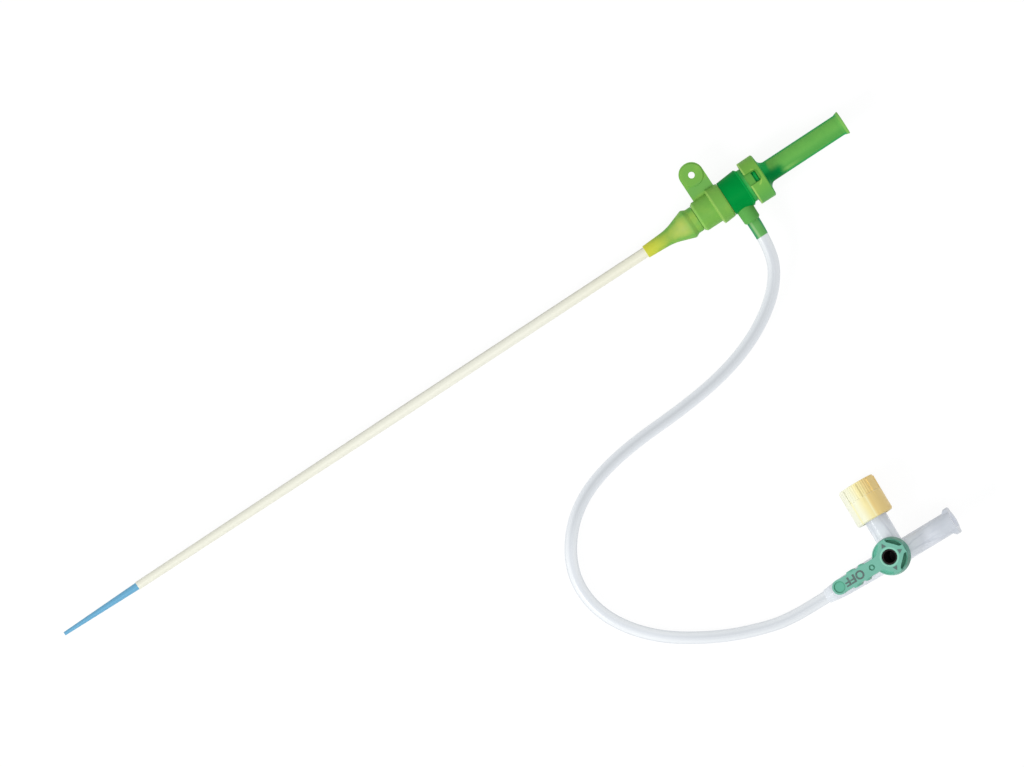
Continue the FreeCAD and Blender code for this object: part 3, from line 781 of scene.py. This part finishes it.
        # Painted light: the pocket floors glow, brightly on the -X side and faintly on the +X side.
        glow = teal.mix(along.rise(-1.5, 1.5), paint(98, 156, 142), paint(22, 52, 42))
        dish = ((along + 16.02) * (along + 16.02) + aside * aside) ** 0.5
        dish_shade = (1 - dish.rise(1.55, 1.6)) * (1 - height.rise(top - 0.1, top - 0.02))
        dish_rim_shade = dish.rise(1.25, 1.35) * dish_shade
        # Painted shade in the thumb dish, darker still near its rim.
        shade = teal.mix(dish_shade * 0.8, shade, paint(92, 172, 146))
        shade = teal.mix(dish_rim_shade * 0.7, shade, paint(64, 146, 112))
        # Painted shade in the ring groove 5.6 mm out along the arm.
        mark = ((along + 5.6) * (along + 5.6) + aside * aside) ** 0.5
        groove_shade = (1 - mark.rise(0.86, 0.9)) * (1 - height.rise(top - 0.12, top - 0.02))
        shade = teal.mix(groove_shade * 0.8, shade, paint(74, 148, 122))
        # Painted shade on the arm's sides below its top.
        flank_shade = (1 - height.rise(top - 0.9, top - 0.15)) * (1 - along.rise(-5.6, -5.2))
        shade = teal.mix(flank_shade * 0.7, shade, paint(70, 142, 118))
        # Painted shade on the pads along the arm's edges.
        for station in (-7.6, -10.8):
            lobe_shade = (((along - station) / 1.2) ** 2 + ((abs(aside) - 2.55) / 0.75) ** 2) ** 0.5
            shade = teal.mix((1 - lobe_shade.rise(0.4, 1.2)) * 0.7, shade, paint(66, 140, 116))
        # Painted highlight on the lip round the plug's hole.
        lip_highlight = (1 - radius.rise(2.5, 2.75)) * height.rise(top - 0.3, top - 0.2)
        shade = teal.mix(lip_highlight * 0.6, shade, paint(150, 212, 188))
        teal.set(Base_Color=shade, Roughness=0.34 + 0.14 * mottle, Emission_Strength=0.6,
                 Emission_Color=teal.mix(pocket, (0, 0, 0), glow))
        teal.grain(0.10, 2000)
        dress("stopcock_handle", teal)
        return {"FINISHED"}


class CATHETER_OT_cap(bpy.types.Operator):
    """Finish the cream cap of the side port"""

    bl_idname = "catheter.cap"
    bl_label = "Luer cap"

    def execute(self, context):
        colours = settings("colours")
        cream = Finish("cap cream", Roughness=0.40, IOR=1.48)
        plain = cream.measured(PORT_WAY, CROSSING)
        mottle = cream.noise(240, 4.0)
        across = plain + 1.2 * (mottle - 0.5)
        # The cap's own cream-yellow, graded from pale to ochre across it: painted light on its pale
        # side and painted shade on its deep side.
        stops = [
            (0.00, tuple(colours.cream)),
            (0.32, paint(230, 229, 198)),
            (0.55, paint(241, 228, 166)),
            (0.66, paint(241, 224, 158)),
            (0.76, paint(240, 212, 140)),
            (1.00, tuple(colours.ochre)),
        ]
        out = cream.measured(SIDE_WAY, CROSSING)
        # Painted light on the step round the cap, against its shade.
        step = out.rise(17.66, 17.74) * (1 - out.rise(17.84, 17.9))
        shade = cream.ramp((across + 4.6) / 9.9, stops)
        body = 1 - out.rise(17.4, 19.0)
        # Painted highlights and shade: light and dark stripes along the cap's long ribs.
        for place, wide, strength, line in (
            (1.75, 0.34, 0.6, paint(250, 246, 204)),
            (2.55, 0.60, 0.5, paint(236, 200, 122)),
            (-2.7, 0.40, 0.6, paint(238, 228, 152)),
        ):
            shade = cream.mix(
                (1 - abs(plain - place).rise(0.0, wide)) * body * strength, shade, line)
        cream.set(
            Base_Color=cream.mix(step * 0.35, shade, paint(255, 252, 226)),
            Roughness=0.36 + 0.14 * mottle,
        )
        cream.grain(0.12, 1600)
        dress("luer_cap", cream)
        return {"FINISHED"}


class CATHETER_OT_off_word(bpy.types.Operator):
    """Write OFF on the handle's arm"""

    bl_idname = "catheter.off_word"
    bl_label = "OFF word"

    def execute(self, context):
        colours = settings("colours")
        sizes = settings("marks")
        ink = Finish("mark grey", Roughness=0.5)
        wear = ink.noise(900, 4.0)
        ink.set(Base_Color=ink.mix(wear.rise(0.5, 0.9) * 0.5, colours.marks, colours.teal))
        # Name, letter, station along the arm, width (both in millimetres), share of the height
        letters = (
            ("off_o", "O", 9.5, 2.5, 1.0),
            ("off_f", "F", 11.76, 1.55, 0.92),
            ("off_g", "F", 13.42, 1.5, 0.92),
        )
        for name, letter, station, width, share in letters:
            text = bpy.data.curves.new(name, "FONT")
            text.body = letter
            text.align_x = "CENTER"
            text.align_y = "CENTER"
            text.size = sizes.letter * 1.42  # capitals are about 0.7 of a font's size
            text.extrude = sizes.proud
            text.offset = sizes.bold
            helper = bpy.data.objects.new(name, text)
            context.scene.collection.objects.link(helper)
            mesh = bpy.data.meshes.new_from_object(helper)
            bpy.data.objects.remove(helper)
            mesh.name = name
            form = bmesh.new()
            form.from_mesh(mesh)
            bmesh.ops.remove_doubles(form, verts=form.verts, dist=0.0005 * MM)
            lows = [min(v.co[k] for v in form.verts) for k in (0, 1)]
            highs = [max(v.co[k] for v in form.verts) for k in (0, 1)]
            middle = Vector(((lows[0] + highs[0]) / 2, (lows[1] + highs[1]) / 2, 0))
            bmesh.ops.translate(form, verts=form.verts, vec=-middle)
            tall = sizes.letter * share / (highs[1] - lows[1])
            broad = width * MM / (highs[0] - lows[0])
            bmesh.ops.scale(form, verts=form.verts, vec=(broad, tall, 1))
            bmesh.ops.rotate(form, verts=form.verts, matrix=Matrix.Rotation(math.pi, 3, "Z"))
            bmesh.ops.translate(form, verts=form.verts, vec=(-station * MM, 0, 0))
            form.to_mesh(mesh)
            form.free()
            handle_mark(name, mesh, ink, sizes)
        return {"FINISHED"}


class CATHETER_OT_arrows(bpy.types.Operator):
    """Print the three arrows on the handle's spokes"""

    bl_idname = "catheter.arrows"
    bl_label = "Arrows"

    def execute(self, context):
        colours = settings("colours")
        sizes = settings("marks")
        ink = Finish("arrow grey", Roughness=0.5)
        wear = ink.noise(900, 4.0)
        ink.set(Base_Color=ink.mix(wear.rise(0.5, 0.9) * 0.4, colours.marks, colours.teal))
        for name, angle in (("arrow_side", 90), ("arrow_open", 0), ("arrow_back", -90)):
            mesh = bpy.data.meshes.new(name)
            form = bmesh.new()
            made = bmesh.ops.create_circle(
                form, cap_ends=True, segments=3, radius=sizes.arrow * 0.62)
            bmesh.ops.rotate(form, verts=form.verts, matrix=Matrix.Rotation(-math.pi / 2, 3, "Z"))
            low = min(v.co.x for v in made["verts"])
            bmesh.ops.translate(form, verts=form.verts, vec=(2.9 * MM - low, 0, 0))
            bmesh.ops.rotate(
                form, verts=form.verts, matrix=Matrix.Rotation(math.radians(angle), 3, "Z"))
            raised = bmesh.ops.extrude_face_region(form, geom=form.faces[:])
            tops = [v for v in raised["geom"] if isinstance(v, bmesh.types.BMVert)]
            bmesh.ops.translate(form, verts=tops, vec=(0, 0, sizes.proud))
            bmesh.ops.recalc_face_normals(form, faces=form.faces)
            form.to_mesh(mesh)
            form.free()
            handle_mark(name, mesh, ink, sizes)
        return {"FINISHED"}


class CATHETER_OT_stage(bpy.types.Operator):
    """Set up the white floor, the soft lamps and the camera"""

    bl_idname = "catheter.stage"
    bl_label = "Stage"

    def execute(self, context):
        stage = settings("stage")
        scene = context.scene
        mesh = bpy.data.meshes.new("floor")
        form = bmesh.new()
        bmesh.ops.create_grid(form, x_segments=1, y_segments=1, size=stage.floor / 2)
        form.to_mesh(mesh)
        form.free()
        floor = bpy.data.objects.new("floor", mesh)
        scene.collection.objects.link(floor)
        floor.location = (0, 0, -FLOOR_GAP)
        white = bpy.data.materials.new("white floor")
        tree = empty_tree(white)
        seen = add_node(tree, "ShaderNodeLightPath")
        share = seen.outputs["Is Camera Ray"]
        for ray in ("Is Glossy Ray", "Is Transmission Ray"):
            either = add_node(
                tree, "ShaderNodeMath", {"operation": "MAXIMUM"}, {0: share, 1: seen.outputs[ray]})
            share = either.outputs[0]
        part = add_node(
            tree, "ShaderNodeMath", {"operation": "MULTIPLY"}, {0: share, 1: FLOOR_GLOW_SHARE})
        matte = add_node(tree, "ShaderNodeBsdfDiffuse", {}, {"Color": FLOOR_GREY})
        glow = add_node(tree, "ShaderNodeEmission", {}, {"Strength": FLOOR_GLOW})
        mixed = add_node(tree, "ShaderNodeMixShader", {}, {
            0: part.outputs[0], 1: matte.outputs[0], 2: glow.outputs[0]})
        add_node(tree, "ShaderNodeOutputMaterial", {}, {0: mixed.outputs[0]})
        mesh.materials.append(white)

        # The lamps' fill lights the object, and the camera sees plain white past the floor
        world = bpy.data.worlds.new("studio")
        tree = empty_tree(world)
        seen = add_node(tree, "ShaderNodeLightPath")
        soft = add_node(tree, "ShaderNodeBackground", {}, {
            "Color": (0.97, 0.985, 1.0), "Strength": stage.fill})
        plain = add_node(tree, "ShaderNodeBackground", {}, {"Strength": 1.0})
        mixed = add_node(tree, "ShaderNodeMixShader", {}, {
            0: seen.outputs["Is Camera Ray"], 1: soft.outputs[0], 2: plain.outputs[0]})
        add_node(tree, "ShaderNodeOutputWorld", {}, {0: mixed.outputs[0]})
        scene.world = world

        for name, place, width, share, target in LAMPS:
            light = bpy.data.lights.new(name, "AREA")
            light.shape = "DISK"
            light.size = width
            light.energy = stage.key * share
            piece = bpy.data.objects.new(name, light)
            scene.collection.objects.link(piece)
            piece.location = place
            aim = (Vector(target) - Vector(place)).to_track_quat("-Z", "Y")
            piece.rotation_euler = aim.to_euler()

        camera = bpy.data.cameras.new("camera")
        camera.type = "PERSP"
        camera.lens = stage.lens
        camera.sensor_width = SENSOR_WIDTH
        away = stage.scale / SENSOR_WIDTH * stage.lens
        camera.clip_start = 0.1
        camera.clip_end = 50
        eye = bpy.data.objects.new("camera", camera)
        scene.collection.objects.link(eye)
        eye.location = (*PICTURE_MIDDLE[:2], PICTURE_MIDDLE[2] + away)
        eye.rotation_euler = (0, 0, -stage.roll)
        scene.camera = eye
        scene.view_settings.view_transform = "Standard"
        return {"FINISHED"}


STEPS = (
    CATHETER_OT_stage,
    CATHETER_OT_side_tube,
    CATHETER_OT_sheath,
    CATHETER_OT_relief,
    CATHETER_OT_collar,
    CATHETER_OT_housing,
    CATHETER_OT_dilator,
    CATHETER_OT_stopcock,
    CATHETER_OT_cap,
    CATHETER_OT_off_word,
    CATHETER_OT_arrows,
)


class CATHETER_PT_panel(bpy.types.Panel):
    """The pieces of the introducer, in the order that they are made"""

    bl_idname = "CATHETER_PT_panel"
    bl_label = "Guiding catheter"
    bl_space_type = "VIEW_3D"
    bl_region_type = "UI"
    bl_category = "Catheter"

    def draw(self, context):
        column = self.layout.column()
        for step in STEPS:
            column.operator(step.bl_idname)
        for group in GROUPS:
            held = settings(group)
            box = self.layout.box()
            for name in held.__annotations__:
                box.prop(held, name)


GROUPS = {
    "colours": CatheterColours,
    "tube": SideTubeSizes,
    "marks": HandleMarkSizes,
    "stage": StageSettings,
}


def register():
    for group in GROUPS.values():
        bpy.utils.register_class(group)
    for step in STEPS:
        bpy.utils.register_class(step)
    bpy.utils.register_class(CATHETER_PT_panel)
    for name, group in GROUPS.items():
        setattr(bpy.types.Scene, "catheter_" + name, bpy.props.PointerProperty(type=group))


def unregister():
    for name in GROUPS:
        delattr(bpy.types.Scene, "catheter_" + name)
    bpy.utils.unregister_class(CATHETER_PT_panel)
    for step in reversed(STEPS):
        bpy.utils.unregister_class(step)
    for group in reversed(list(GROUPS.values())):
        bpy.utils.unregister_class(group)


def main():
    register()
    for step in STEPS:
        group, name = step.bl_idname.split(".")
        getattr(getattr(bpy.ops, group), name)()


if __name__ == "__main__":
    main()
